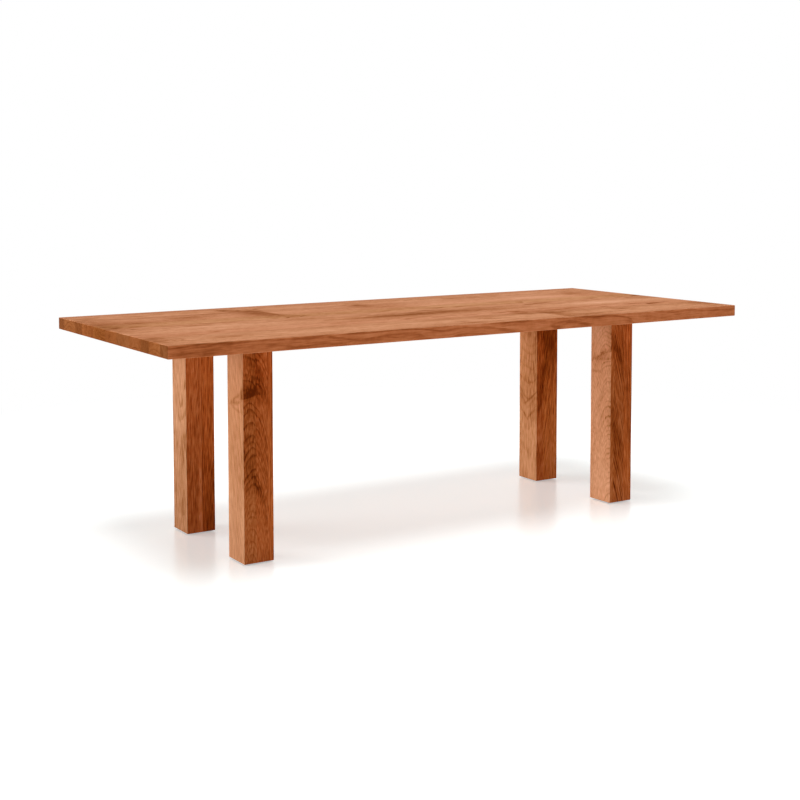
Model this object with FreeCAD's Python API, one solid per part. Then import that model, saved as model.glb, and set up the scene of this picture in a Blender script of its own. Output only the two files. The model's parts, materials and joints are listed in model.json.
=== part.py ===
import FreeCAD, Part
import math
import os

from FreeCAD import Vector

# Solid-wood dining table: an edge-glued plank top that overhangs four laminated legs, with no apron.
# Each leg is screwed to a steel plate, and the plate is bolted into a pocket in the underside of the top.
# Steel channels, let into the underside across the grain, keep the top flat.
# Millimetres. Origin on the floor under the middle of the top, +X along the length, +Y to the back, +Z up.

# Top
TOP_LENGTH = 2400.0
TOP_WIDTH = 1000.0
TOP_THICKNESS = 42.0
TABLE_HEIGHT = 780.0
TOP_EDGE_RADIUS = 3.0

# Staves of the top, from the back edge to the front edge, as shares of its width
STAVE_WIDTH_SHARES = (0.060, 0.115, 0.072, 0.113, 0.110, 0.105, 0.110, 0.100, 0.065, 0.090, 0.060)

# Legs: depth is along X, width along Y, and the insets run from the edges of the top to the legs' outer faces
LEG_DEPTH = 110.0
LEG_WIDTH = 120.0
LEG_END_INSET = 350.0
LEG_SIDE_INSET = 208.0
LEG_EDGE_RADIUS = 3.0
LEG_SIGNS = {"front_left": (-1, -1), "front_right": (1, -1), "back_left": (-1, 1), "back_right": (1, 1)}

# Lamellas of each leg, from its -X face to its +X face, as shares of its depth
LAMELLA_SHARES = {
    "front_left": (0.41, 0.41, 0.18),
    "front_right": (0.16, 0.46, 0.38),
    "back_left": (0.54, 0.46),
    "back_right": (0.33, 0.34, 0.33),
}

# Leg plates, set flush in pockets in the underside of the top
PLATE_MARGIN = 40.0
PLATE_THICKNESS = 6.0
PLATE_CORNER_RADIUS = 10.0
PLATE_POCKET_GAP = 0.5

# Bolts through the plate margins, their washers and the threaded inserts that they enter
BOLT_DIAMETER = 8.0
BOLT_HEAD_FLATS = 13.0
BOLT_HEAD_HEIGHT = 5.3
BOLT_EDGE_DISTANCE = 18.0
BOLT_HOLE_GAP = 0.5
BOLT_END_CHAMFER = 1.0
WASHER_DIAMETER = 16.0
WASHER_THICKNESS = 1.6
WASHER_BORE_GAP = 0.2
INSERT_WALL = 2.0
INSERT_LENGTH = 18.0
INSERT_CHAMFER = 0.8
INSERT_HOLE_SPARE = 2.0

# Countersunk screws that hold the plates to the legs' end grain
LEG_SCREW_DIAMETER = 8.0
LEG_SCREW_LENGTH = 100.0
LEG_SCREW_HEAD_DIAMETER = 15.0
LEG_SCREW_POINT = 12.0
LEG_SCREW_FACE_DISTANCE = 26.0
LEG_SCREW_DRIVE_FLATS = 6.0
LEG_SCREW_DRIVE_DEPTH = 3.0

# Stiffening channels, web downwards and flush with the underside
CHANNEL_WIDTH = 40.0
CHANNEL_HEIGHT = 20.0
CHANNEL_WALL = 3.0
CHANNEL_SIDE_INSET = 80.0
CHANNEL_GROOVE_GAP = 0.5
CHANNEL_GROOVE_END_GAP = 4.0
CHANNEL_PLACES = {"left": -1, "middle": 0, "right": 1}
CHANNEL_OVERHANG_SHARE = 0.5

# Screws and washers of the channels, in slots that let the wood swell and shrink
CHANNEL_SCREW_COUNT = 5
CHANNEL_SCREW_END_DISTANCE = 60.0
CHANNEL_SCREW_DIAMETER = 5.0
CHANNEL_SCREW_LENGTH = 30.0
CHANNEL_SCREW_POINT = 6.0
CHANNEL_SCREW_HEAD_DIAMETER = 10.0
CHANNEL_SCREW_HEAD_HEIGHT = 3.4
CHANNEL_SCREW_HEAD_RADIUS = 1.2
CHANNEL_SCREW_DRIVE_FLATS = 4.0
CHANNEL_SCREW_DRIVE_DEPTH = 2.0
CHANNEL_SLOT_GAP = 0.5
CHANNEL_SLOT_TRAVEL = 4.0
CHANNEL_WASHER_DIAMETER = 15.0
CHANNEL_WASHER_THICKNESS = 1.2

# Glides under the legs and their screws
GLIDE_HEIGHT = 4.0
GLIDE_DIAMETER = 60.0
GLIDE_CHAMFER = 1.2
GLIDE_SCREW_DIAMETER = 4.0
GLIDE_SCREW_LENGTH = 30.0
GLIDE_SCREW_HEAD_DIAMETER = 8.0
GLIDE_SCREW_POINT = 6.0
GLIDE_SCREW_SINK = 1.0
GLIDE_SCREW_DRIVE_FLATS = 3.0
GLIDE_SCREW_DRIVE_DEPTH = 1.4

# Radial clearance of a screw or insert in its hole, the spare length of every cut,
# and how far apart two levels may lie and still count as one
FIT_GAP = 0.1
CUT_OVERRUN = 5.0
LEVEL_TOLERANCE = 0.01

# Levels and half sizes that follow from the sizes above
UNDERSIDE_Z = TABLE_HEIGHT - TOP_THICKNESS
PLATE_TOP_Z = UNDERSIDE_Z + PLATE_THICKNESS
PLATE_DEPTH = LEG_DEPTH + 2 * PLATE_MARGIN
PLATE_WIDTH = LEG_WIDTH + 2 * PLATE_MARGIN
LEG_X = TOP_LENGTH / 2 - LEG_END_INSET - LEG_DEPTH / 2
LEG_Y = TOP_WIDTH / 2 - LEG_SIDE_INSET - LEG_WIDTH / 2
BOLT_SHANK_LENGTH = WASHER_THICKNESS + PLATE_THICKNESS + INSERT_LENGTH
INSERT_DIAMETER = BOLT_DIAMETER + 2 * INSERT_WALL
CHANNEL_LENGTH = TOP_WIDTH - 2 * CHANNEL_SIDE_INSET
CHANNEL_X = TOP_LENGTH / 2 - (LEG_END_INSET - PLATE_MARGIN) * CHANNEL_OVERHANG_SHARE

UP = Vector(0, 0, 1)
DOWN = Vector(0, 0, -1)
CORNER_SIGNS = ((-1, -1), (1, -1), (-1, 1), (1, 1))
HEXAGON_SIDES = 6


# Basic shapes
def block(length, width, height, x, y, z):
    """A box centred on x and y, standing on z."""
    return Part.makeBox(length, width, height, Vector(x - length / 2, y - width / 2, z))


def rod(diameter, height, x, y, z, direction=UP):
    return Part.makeCylinder(diameter / 2, height, Vector(x, y, z), direction)


def taper(start_diameter, end_diameter, height, x, y, z, direction=UP):
    return Part.makeCone(start_diameter / 2, end_diameter / 2, height, Vector(x, y, z), direction)


def hexagon(across_flats, height, x, y, z):
    """A hexagonal prism that stands on z."""
    radius = across_flats / 2 / math.cos(math.pi / HEXAGON_SIDES)
    angles = [2 * math.pi * side / HEXAGON_SIDES for side in range(HEXAGON_SIDES + 1)]
    corners = [Vector(x + radius * math.cos(a), y + radius * math.sin(a), z) for a in angles]
    return Part.Face(Part.makePolygon(corners)).extrude(Vector(0, 0, height))


def slot_prism(travel, width, height, x, y, z):
    """A round-ended slot that stands on z and lets a screw travel along Y."""
    ends = [rod(width, height, x, y + side * travel / 2, z) for side in (-1, 1)]
    return block(width, travel, height, x, y, z).fuse(ends).removeSplitter()


def upright_edges(shape):
    """The straight edges along Z."""
    runs = [(e, e.Vertexes[-1].Point - e.Vertexes[0].Point) for e in shape.Edges]
    return [e for e, run in runs if run.Length > 2 * run.cross(UP).Length]


def edges_at_level(shape, z):
    return [e for e in shape.Edges if all(abs(v.Z - z) < LEVEL_TOLERANCE for v in e.Vertexes)]


def running_bounds(shares, total):
    """The two bounds of each slice of a total that is divided by shares."""
    whole = sum(shares)
    bounds = [total * sum(shares[:i]) / whole for i in range(len(shares) + 1)]
    return list(zip(bounds[:-1], bounds[1:]))


# Screws
def countersunk_screw(diameter, length, head_diameter, point, x, y, z, direction, gap=0.0):
    """A countersunk wood screw whose head is flush with z; a gap makes the cavity that it fits in."""
    head_height = (head_diameter - diameter) / 2
    head = taper(head_diameter + 2 * gap, diameter + 2 * gap, head_height, x, y, z, direction)
    shank = rod(diameter + 2 * gap, length - point, x, y, z, direction)
    tip_z = z + direction.z * (length - point)
    tip = taper(diameter + 2 * gap, 2 * gap, point + gap, x, y, tip_z, direction)
    return head.fuse([shank, tip]).removeSplitter()


def pan_head_screw(x, y, z):
    """A channel screw that points up, with the underside of its head at z."""
    head_z = z - CHANNEL_SCREW_HEAD_HEIGHT
    head = rod(CHANNEL_SCREW_HEAD_DIAMETER, CHANNEL_SCREW_HEAD_HEIGHT, x, y, head_z)
    head = head.makeFillet(CHANNEL_SCREW_HEAD_RADIUS, edges_at_level(head, head_z))
    shank_length = CHANNEL_SCREW_LENGTH - CHANNEL_SCREW_POINT
    shank = rod(CHANNEL_SCREW_DIAMETER, shank_length, x, y, z)
    tip = taper(CHANNEL_SCREW_DIAMETER, 0, CHANNEL_SCREW_POINT, x, y, z + shank_length)
    drive = hexagon(CHANNEL_SCREW_DRIVE_FLATS, CHANNEL_SCREW_DRIVE_DEPTH, x, y, head_z)
    return head.fuse([shank, tip]).removeSplitter().cut(drive)


# Places
def leg_centre(leg):
    sign_x, sign_y = LEG_SIGNS[leg]
    return sign_x * LEG_X, sign_y * LEG_Y


def plate_bolt_places(leg):
    x, y = leg_centre(leg)
    reach_x = PLATE_DEPTH / 2 - BOLT_EDGE_DISTANCE
    reach_y = PLATE_WIDTH / 2 - BOLT_EDGE_DISTANCE
    return [(x + i * reach_x, y + j * reach_y) for i, j in CORNER_SIGNS]


def leg_screw_places(leg):
    x, y = leg_centre(leg)
    reach_x = LEG_DEPTH / 2 - LEG_SCREW_FACE_DISTANCE
    reach_y = LEG_WIDTH / 2 - LEG_SCREW_FACE_DISTANCE
    return [(x + i * reach_x, y + j * reach_y) for i, j in CORNER_SIGNS]


def all_plate_bolt_places():
    return [place for leg in LEG_SIGNS for place in plate_bolt_places(leg)]


def channel_screw_places(name):
    """The screw places of one channel, evenly spaced along Y; the middle one is fixed, the others slide."""
    span = CHANNEL_LENGTH - 2 * CHANNEL_SCREW_END_DISTANCE
    step = span / (CHANNEL_SCREW_COUNT - 1)
    x = CHANNEL_PLACES[name] * CHANNEL_X
    return [(x, i * step - span / 2) for i in range(CHANNEL_SCREW_COUNT)]


def all_channel_screw_places():
    return [place for name in CHANNEL_PLACES for place in channel_screw_places(name)]


# Cavities
def plate_pocket(leg):
    x, y = leg_centre(leg)
    depth = PLATE_DEPTH + 2 * PLATE_POCKET_GAP
    width = PLATE_WIDTH + 2 * PLATE_POCKET_GAP
    pocket = block(depth, width, PLATE_THICKNESS + CUT_OVERRUN, x, y, UNDERSIDE_Z - CUT_OVERRUN)
    return pocket.makeFillet(PLATE_CORNER_RADIUS + PLATE_POCKET_GAP, upright_edges(pocket))


def insert_hole(x, y):
    return rod(INSERT_DIAMETER + 2 * FIT_GAP, INSERT_LENGTH + INSERT_HOLE_SPARE, x, y, PLATE_TOP_Z)


def channel_groove(name):
    """A shallow bed for the web and two kerfs for the flanges."""
    x = CHANNEL_PLACES[name] * CHANNEL_X
    length = CHANNEL_LENGTH + 2 * CHANNEL_GROOVE_END_GAP
    start_z = UNDERSIDE_Z - CUT_OVERRUN
    bed_width = CHANNEL_WIDTH + 2 * CHANNEL_GROOVE_GAP
    bed = block(bed_width, length, CHANNEL_WALL + CUT_OVERRUN, x, 0, start_z)
    kerf_width = CHANNEL_WALL + 2 * CHANNEL_GROOVE_GAP
    kerf_height = CHANNEL_HEIGHT + CHANNEL_GROOVE_GAP + CUT_OVERRUN
    kerf_x = (CHANNEL_WIDTH - CHANNEL_WALL) / 2
    kerfs = [block(kerf_width, length, kerf_height, x + side * kerf_x, 0, start_z) for side in (-1, 1)]
    return bed.fuse(kerfs).removeSplitter()


def channel_screw_hole(x, y):
    depth = CHANNEL_SCREW_LENGTH - CHANNEL_WASHER_THICKNESS + FIT_GAP
    return rod(CHANNEL_SCREW_DIAMETER + 2 * FIT_GAP, depth, x, y, UNDERSIDE_Z)


def leg_screw(x, y, gap=0.0):
    sizes = (LEG_SCREW_DIAMETER, LEG_SCREW_LENGTH, LEG_SCREW_HEAD_DIAMETER, LEG_SCREW_POINT)
    return countersunk_screw(*sizes, x, y, PLATE_TOP_Z, DOWN, gap)


def glide_screw(x, y, gap=0.0):
    sizes = (GLIDE_SCREW_DIAMETER, GLIDE_SCREW_LENGTH, GLIDE_SCREW_HEAD_DIAMETER, GLIDE_SCREW_POINT)
    return countersunk_screw(*sizes, x, y, GLIDE_SCREW_SINK, UP, gap)


# Top
def make_top_panel():
    """The whole top, with eased edges and everything that is cut into its underside."""
    panel = block(TOP_LENGTH, TOP_WIDTH, TOP_THICKNESS, 0, 0, UNDERSIDE_Z)
    panel = panel.makeFillet(TOP_EDGE_RADIUS, panel.Edges)
    cavities = [plate_pocket(leg) for leg in LEG_SIGNS]
    cavities += [insert_hole(x, y) for x, y in all_plate_bolt_places()]
    cavities += [channel_groove(name) for name in CHANNEL_PLACES]
    cavities += [channel_screw_hole(x, y) for x, y in all_channel_screw_places()]
    return panel.cut(cavities)


def make_staves():
    """The top, divided along its glue lines from the back edge to the front edge."""
    panel = make_top_panel()
    staves = {}
    for number, (start, end) in enumerate(running_bounds(STAVE_WIDTH_SHARES, TOP_WIDTH), 1):
        middle_y = TOP_WIDTH / 2 - (start + end) / 2
        slab_length = TOP_LENGTH + 2 * CUT_OVERRUN
        slab_height = TOP_THICKNESS + 2 * CUT_OVERRUN
        slab = block(slab_length, end - start, slab_height, 0, middle_y, UNDERSIDE_Z - CUT_OVERRUN)
        staves[f"top_stave_{number:02d}"] = panel.common(slab)
    return staves


# Legs
def make_leg(leg):
    """One leg before it is divided, with eased edges and holes for the plate screws and the glide screw."""
    x, y = leg_centre(leg)
    post = block(LEG_DEPTH, LEG_WIDTH, UNDERSIDE_Z - GLIDE_HEIGHT, x, y, GLIDE_HEIGHT)
    eased = upright_edges(post) + edges_at_level(post, GLIDE_HEIGHT)
    post = post.makeFillet(LEG_EDGE_RADIUS, eased)
    holes = [leg_screw(i, j, FIT_GAP) for i, j in leg_screw_places(leg)]
    return post.cut(holes + [glide_screw(x, y, FIT_GAP)])


def make_lamellas(leg):
    """A leg divided along its glue lines, from its -X face to its +X face."""
    post = make_leg(leg)
    x, y = leg_centre(leg)
    lamellas = {}
    for number, (start, end) in enumerate(running_bounds(LAMELLA_SHARES[leg], LEG_DEPTH), 1):
        middle_x = x - LEG_DEPTH / 2 + (start + end) / 2
        slab_width = LEG_WIDTH + 2 * CUT_OVERRUN
        slab = block(end - start, slab_width, TABLE_HEIGHT, middle_x, y, 0)
        lamellas[f"leg_{leg}_lamella_{number}"] = post.common(slab)
    return lamellas


# Leg plates and what holds them
def make_plate(leg):
    x, y = leg_centre(leg)
    plate = block(PLATE_DEPTH, PLATE_WIDTH, PLATE_THICKNESS, x, y, UNDERSIDE_Z)
    plate = plate.makeFillet(PLATE_CORNER_RADIUS, upright_edges(plate))
    hole_height = PLATE_THICKNESS + 2 * CUT_OVERRUN
    hole_diameter = BOLT_DIAMETER + 2 * BOLT_HOLE_GAP
    hole_z = UNDERSIDE_Z - CUT_OVERRUN
    holes = [rod(hole_diameter, hole_height, i, j, hole_z) for i, j in plate_bolt_places(leg)]
    return plate.cut(holes + [leg_screw(i, j, FIT_GAP) for i, j in leg_screw_places(leg)])


def make_leg_screws():
    screws = []
    for leg in LEG_SIGNS:
        for x, y in leg_screw_places(leg):
            drive_z = PLATE_TOP_Z - LEG_SCREW_DRIVE_DEPTH
            drive = hexagon(LEG_SCREW_DRIVE_FLATS, LEG_SCREW_DRIVE_DEPTH + CUT_OVERRUN, x, y, drive_z)
            screws.append(leg_screw(x, y).cut(drive))
    return screws


def make_bolt(x, y):
    """A hexagon bolt that points up, with its head under a washer under the plate."""
    seat_z = UNDERSIDE_Z - WASHER_THICKNESS
    head_z = seat_z - BOLT_HEAD_HEIGHT
    head = hexagon(BOLT_HEAD_FLATS, BOLT_HEAD_HEIGHT, x, y, head_z)
    corner_spread = BOLT_HEAD_FLATS + 2 * BOLT_HEAD_HEIGHT
    head = head.common(taper(BOLT_HEAD_FLATS, corner_spread, BOLT_HEAD_HEIGHT, x, y, head_z))
    shank = rod(BOLT_DIAMETER, BOLT_SHANK_LENGTH, x, y, seat_z)
    shank = shank.makeChamfer(BOLT_END_CHAMFER, edges_at_level(shank, seat_z + BOLT_SHANK_LENGTH))
    return head.fuse(shank).removeSplitter()


def make_ring(outer_diameter, inner_diameter, height, x, y, z):
    bore = rod(inner_diameter, height + 2 * CUT_OVERRUN, x, y, z - CUT_OVERRUN)
    return rod(outer_diameter, height, x, y, z).cut(bore)


def make_washer(x, y):
    bore = BOLT_DIAMETER + 2 * WASHER_BORE_GAP
    return make_ring(WASHER_DIAMETER, bore, WASHER_THICKNESS, x, y, UNDERSIDE_Z - WASHER_THICKNESS)


def make_insert(x, y):
    """A threaded insert, chamfered at the end that enters the wood first."""
    sleeve = rod(INSERT_DIAMETER, INSERT_LENGTH, x, y, PLATE_TOP_Z)
    sleeve = sleeve.makeChamfer(INSERT_CHAMFER, edges_at_level(sleeve, PLATE_TOP_Z + INSERT_LENGTH))
    bore_length = INSERT_LENGTH + 2 * CUT_OVERRUN
    return sleeve.cut(rod(BOLT_DIAMETER + 2 * FIT_GAP, bore_length, x, y, PLATE_TOP_Z - CUT_OVERRUN))


# Stiffeners
def make_channel(name):
    x = CHANNEL_PLACES[name] * CHANNEL_X
    outer = block(CHANNEL_WIDTH, CHANNEL_LENGTH, CHANNEL_HEIGHT, x, 0, UNDERSIDE_Z)
    inner_width = CHANNEL_WIDTH - 2 * CHANNEL_WALL
    inner_length = CHANNEL_LENGTH + 2 * CUT_OVERRUN
    inner = block(inner_width, inner_length, CHANNEL_HEIGHT, x, 0, UNDERSIDE_Z + CHANNEL_WALL)
    places = channel_screw_places(name)
    middle_place = places.pop(len(places) // 2)
    hole_width = CHANNEL_SCREW_DIAMETER + 2 * CHANNEL_SLOT_GAP
    hole_height = CHANNEL_WALL + 2 * CUT_OVERRUN
    hole_z = UNDERSIDE_Z - CUT_OVERRUN
    holes = [slot_prism(CHANNEL_SLOT_TRAVEL, hole_width, hole_height, *place, hole_z) for place in places]
    holes.append(rod(hole_width, hole_height, *middle_place, hole_z))
    return outer.cut([inner] + holes)


def make_channel_washer(x, y):
    bore = CHANNEL_SCREW_DIAMETER + 2 * WASHER_BORE_GAP
    z = UNDERSIDE_Z - CHANNEL_WASHER_THICKNESS
    return make_ring(CHANNEL_WASHER_DIAMETER, bore, CHANNEL_WASHER_THICKNESS, x, y, z)


# Glides
def make_glide(leg):
    x, y = leg_centre(leg)
    disc = rod(GLIDE_DIAMETER, GLIDE_HEIGHT, x, y, 0)
    disc = disc.makeChamfer(GLIDE_CHAMFER, edges_at_level(disc, 0))
    recess_diameter = GLIDE_SCREW_HEAD_DIAMETER + 2 * FIT_GAP
    head_recess = rod(recess_diameter, GLIDE_SCREW_SINK + CUT_OVERRUN, x, y, -CUT_OVERRUN)
    return disc.cut([glide_screw(x, y, FIT_GAP), head_recess])


def make_glide_screws():
    screws = []
    for leg in LEG_SIGNS:
        x, y = leg_centre(leg)
        drive_z = GLIDE_SCREW_SINK - CUT_OVERRUN
        drive = hexagon(GLIDE_SCREW_DRIVE_FLATS, GLIDE_SCREW_DRIVE_DEPTH + CUT_OVERRUN, x, y, drive_z)
        screws.append(glide_screw(x, y).cut(drive))
    return screws


# All pieces, by the name of their node
def make_parts():
    bolt_places = all_plate_bolt_places()
    channel_places = all_channel_screw_places()
    channel_seat_z = UNDERSIDE_Z - CHANNEL_WASHER_THICKNESS
    parts = make_staves()
    for leg in LEG_SIGNS:
        parts.update(make_lamellas(leg))
        parts[f"leg_plate_{leg}"] = make_plate(leg)
        parts[f"glide_{leg}"] = make_glide(leg)
    for name in CHANNEL_PLACES:
        parts[f"stiffener_{name}"] = make_channel(name)
    groups = {
        "leg_plate_screws": make_leg_screws(),
        "plate_bolts": [make_bolt(x, y) for x, y in bolt_places],
        "plate_washers": [make_washer(x, y) for x, y in bolt_places],
        "threaded_inserts": [make_insert(x, y) for x, y in bolt_places],
        "stiffener_screws": [pan_head_screw(x, y, channel_seat_z) for x, y in channel_places],
        "stiffener_washers": [make_channel_washer(x, y) for x, y in channel_places],
        "glide_screws": make_glide_screws(),
    }
    for name, solids in groups.items():
        parts[name] = Part.makeCompound(solids)
    return parts


def main():
    os.makedirs("parts", exist_ok=True)
    for name, shape in make_parts().items():
        shape.exportStep(f"parts/{name}.step")
        print(f"{name}: {len(shape.Solids)} solid(s), {shape.Volume:.0f} mm3, valid {shape.isValid()}")


main()
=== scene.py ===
"""Looks of the plank-top dining table: wood, steel, zinc, brass and plastic, in a plain studio.

Everything is in metres, in the frame of the CAD: +X along the top, +Y to the back, +Z up, the floor at zero.
"""
import json
import math
from collections import namedtuple

import bpy
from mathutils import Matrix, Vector


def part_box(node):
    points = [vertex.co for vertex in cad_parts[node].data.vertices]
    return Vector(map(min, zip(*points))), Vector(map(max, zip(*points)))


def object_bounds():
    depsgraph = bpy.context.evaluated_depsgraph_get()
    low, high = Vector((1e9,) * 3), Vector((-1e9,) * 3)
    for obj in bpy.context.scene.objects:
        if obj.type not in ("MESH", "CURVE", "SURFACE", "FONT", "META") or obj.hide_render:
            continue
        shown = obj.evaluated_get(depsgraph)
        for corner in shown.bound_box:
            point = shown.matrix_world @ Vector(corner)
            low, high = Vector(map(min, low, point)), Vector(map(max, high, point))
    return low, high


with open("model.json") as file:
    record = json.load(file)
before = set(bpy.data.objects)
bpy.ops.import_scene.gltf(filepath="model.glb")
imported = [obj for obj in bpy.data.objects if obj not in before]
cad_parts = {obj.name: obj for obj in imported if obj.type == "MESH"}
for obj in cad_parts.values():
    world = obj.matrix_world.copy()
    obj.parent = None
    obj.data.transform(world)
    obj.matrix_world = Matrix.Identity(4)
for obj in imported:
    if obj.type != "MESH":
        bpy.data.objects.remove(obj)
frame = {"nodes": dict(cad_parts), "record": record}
cad_low, cad_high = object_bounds()

# Camera, as fitted to the photograph's edges. A camera that isn't turned looks straight down
FRAME_PIXELS = 800
FOCAL_PIXELS = 1365.5
AXIS_ROW_PIXELS = 272
CAMERA_PLACE = Vector((-2.8067, -4.3148, 1.2870))
CAMERA_YAW_DEGREES = 32.56
CAMERA_DIP_DEGREES = 3.99
CAMERA_ROLL_DEGREES = 0.05
LEVEL_DEGREES = 90.0
SENSOR_WIDTH_MM = 36.0

# Studio. The floor lights the table by its colour, fill and bounce. The camera and gloss see its seen colour
# and glow, which fade into the white background further out
AMBIENT_LIGHT = (0.16, 0.14, 0.12, 1.0)
WHITE = (1.0, 1.0, 1.0, 1.0)
LAMP_COLOUR = (1.0, 0.985, 0.96)
FLOOR_SIDE = 40.0
FLOOR_COLOUR = (0.94, 0.95, 0.95, 1.0)
FLOOR_SEEN_COLOUR = (0.98, 1.055, 1.09, 1.0)
FLOOR_GLOW = (0.438, 0.486, 0.498, 1.0)
FLOOR_FILL = AMBIENT_LIGHT
FLOOR_BOUNCE = (0.95, 0.84, 0.72, 1.0)
FLOOR_GLOSS_ROUGHNESS = 0.24
FLOOR_GLOSS_IOR = 1.3
FLOOR_FADE_START = 2.0
FLOOR_FADE_END = 3.2

# Broad lights, as even as a wall of windows: the way each shines, how wide it looks and its brightness
BroadLight = namedtuple("BroadLight", "name way width_degrees brightness")
LIGHTS = (
    BroadLight("overhead", (0.06, 0.165, -1.0), 32.0, 1.82),
    BroadLight("left_side", (0.80, -0.59, -0.11), 48.0, 2.72),
)

# A noise has its waves to the metre on each axis and its octaves of finer detail. A ramp goes smoothly from
# start, where a value is low, to end, where it is high. A bump has its strength and its distance
Noise = namedtuple("Noise", "waves detail")
Ramp = namedtuple("Ramp", "low high start end", defaults=(0.0, 1.0))
Bump = namedtuple("Bump", "strength distance")
NOISE_MEAN = 0.5

# Wood colours in linear light by depth of colour, from sapwood to a knot: on a board's faces, and, as painted
# shade, a darker and redder copy of them on its sides, which look to the front and the back
FACE_COLOURS = (
    (0.00, (0.790, 0.415, 0.243)),
    (0.25, (0.682, 0.325, 0.172)),
    (0.50, (0.564, 0.243, 0.113)),
    (0.75, (0.400, 0.146, 0.054)),
    (1.00, (0.230, 0.068, 0.018)),
)
# Painted shade: the darker, redder copy that faces looking to the front or back take
PAINTED_SHADE_COLOURS = (
    (0.00, (0.640, 0.222, 0.088)),
    (0.25, (0.555, 0.160, 0.044)),
    (0.50, (0.440, 0.106, 0.022)),
    (0.75, (0.285, 0.059, 0.009)),
    (1.00, (0.140, 0.023, 0.003)),
)

# The ends of a board: their tint, how far they take the darker, redder colours of the painted shade, and how
# calm the figure is there
END_GRAIN_TINT = (0.57, 0.54, 0.40, 1.0)
END_PAINTED_SHADE_SHARE = 0.5
END_CALM = 0.25

# A face turns into an end or a side as the share of its normal that points there goes from low to high
FACING_LOW_SHARE = 0.6
FACING_HIGH_SHARE = 0.9
WAY_ALONG = (1.0, 0.0, 0.0)
WAY_ACROSS = (0.0, 1.0, 0.0)
WAY_UP = (0.0, 0.0, 1.0)

# How much each part of the figure adds to the depth of colour
PLAIN_DEPTH = 0.335
GROUP_DEPTH = 0.20
BLOTCH_DEPTH = 0.35
FIBRE_DEPTH = 1.50
SIDE_FIBRE_DEPTH = 0.45
PORE_DEPTH = 0.25

# The top and the legs differ in how strongly streaks, mottle, growth rings and fibres show, in how fine the
# fibres are (waves to the metre along the grain, across it and through the depth), in how far their sides
# take the darker, redder colours of the painted shade, and in how calm the figure is there
Style = namedtuple("Style", "streak mottle ring fibre fibre_waves side_share side_calm")
TOP_STYLE = Style(0.50, 0.42, 0.45, 0.52, (14.0, 220.0, 220.0), 0.69, 0.24)
LEG_STYLE = Style(0.22, 0.18, 0.48, 0.74, (20.0, 260.0, 260.0), 1.0, 0.0)

# The wood's figure along the grain, across it and through the depth. Streaks count their second axis in rings
DRIFT = Noise((2.2, 7.0, 7.0), 2.0)
WOBBLE = Noise((7.0, 60.0, 60.0), 2.0)
BLOTCH = Noise((2.0, 9.0, 9.0), 3.0)
MOTTLE = Noise((45.0, 45.0, 45.0), 3.0)
STREAK = Noise((3.0, 0.80, 9.0), 4.0)
PORE = Noise((28.0, 950.0, 950.0), 1.0)
FIBRE_DETAIL = 3.0
PORE_SHOWS = Ramp(0.58, 0.72)
ACROSS_THE_GRAIN = (0.0, 1.0, 1.0)
SEED_STEPS = (7.31, 3.17, 1.73)

# Growth rings: how far they wobble (m), how the late wood deepens and ends within a ring, how the strength of
# the rings and the tone of groups of them change (waves to a ring), and how the rings show in a blotch
RING_WOBBLE = 0.0024
LATE_WOOD_DEEPENS = Ramp(0.35, 0.85)
LATE_WOOD_ENDS = Ramp(0.92, 1.0, 1.0, 0.0)
RING_STRENGTH_WAVES = 0.9
RING_STRENGTH = Ramp(0.32, 0.68, 0.1, 1.0)
RING_GROUP_WAVES = 0.21
RING_GROUP_DETAIL = 1.0
BLOTCH_SHOWS_RINGS = Ramp(0.35, 0.60, 0.5, 1.0)

# Marks: how their outlines stray, how far (m), how one ends sharply, how fibres vary its stain, and how deep
# the marks of the top reach, which go right through it. A stave takes the marks whose middles are within
# this many reaches of it
MARK_STRAY = Noise((9.0, 22.0, 22.0), 2.0)
MARK_WOBBLE = 0.024
MARK_ENDS = Ramp(0.0, 0.32, 1.0, 0.0)
FIBRE_STAINS = Ramp(0.2, 0.8, 0.9, 1.1)
MARK_THROUGH = 1.0
MARK_SPAN = 2.4

# The surface of the wood: a dull oil finish, rougher at the pores and the ends, with a height for its bump
WOOD_SHEEN = 0.0
FIBRE_ROUGHNESS = Ramp(0.2, 0.8, 0.56, 0.46)
PORE_ROUGHNESS = 0.14
END_ROUGHNESS = 0.14
FIBRE_HEIGHT = 0.5
PORE_HEIGHT = -0.7
RING_HEIGHT = 0.2
WOOD_BUMP = Bump(0.25, 0.0003)

# Fittings: the figure of each finish, the two colours that it varies between, and its roughness
CLOUD_SHOWS = Ramp(0.3, 0.7)
FITTING_BUMP = Bump(0.3, 0.0002)
COAT_PEEL = Noise((1100.0, 1100.0, 1100.0), 1.0)
COAT_CLOUD = Noise((18.0, 18.0, 18.0), 3.0)
COAT_COLOURS = ((0.020, 0.020, 0.022, 1.0), (0.038, 0.037, 0.038, 1.0))
COAT_ROUGHNESS = Ramp(0.3, 0.7, 0.42, 0.56)
ZINC_CRYSTAL_WAVES = 900.0
ZINC_CLOUD = Noise((120.0, 120.0, 120.0), 3.0)
ZINC_COLOURS = ((0.50, 0.51, 0.54, 1.0), (0.62, 0.62, 0.60, 1.0))
ZINC_ROUGHNESS = Ramp(0.0, 1.0, 0.28, 0.44)
BRASS_TARNISH = Noise((260.0, 260.0, 260.0), 3.0)
BRASS_TOOL = Noise((40.0, 40.0, 3200.0), 1.0)
BRASS_COLOURS = ((0.66, 0.46, 0.17, 1.0), (0.46, 0.29, 0.10, 1.0))
BRASS_TARNISHES = Ramp(0.35, 0.75)
BRASS_ROUGHNESS = Ramp(0.3, 0.7, 0.24, 0.40)
PLASTIC_TEXTURE = Noise((1400.0, 1400.0, 1400.0), 1.0)
PLASTIC_SCUFF = Noise((70.0, 70.0, 70.0), 4.0)
PLASTIC_COLOURS = ((0.046, 0.041, 0.037, 1.0), (0.085, 0.078, 0.070, 1.0))
PLASTIC_SCUFFS = Ramp(0.50, 0.72)
PLASTIC_ROUGHNESS = Ramp(0.4, 0.7, 0.52, 0.68)
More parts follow.
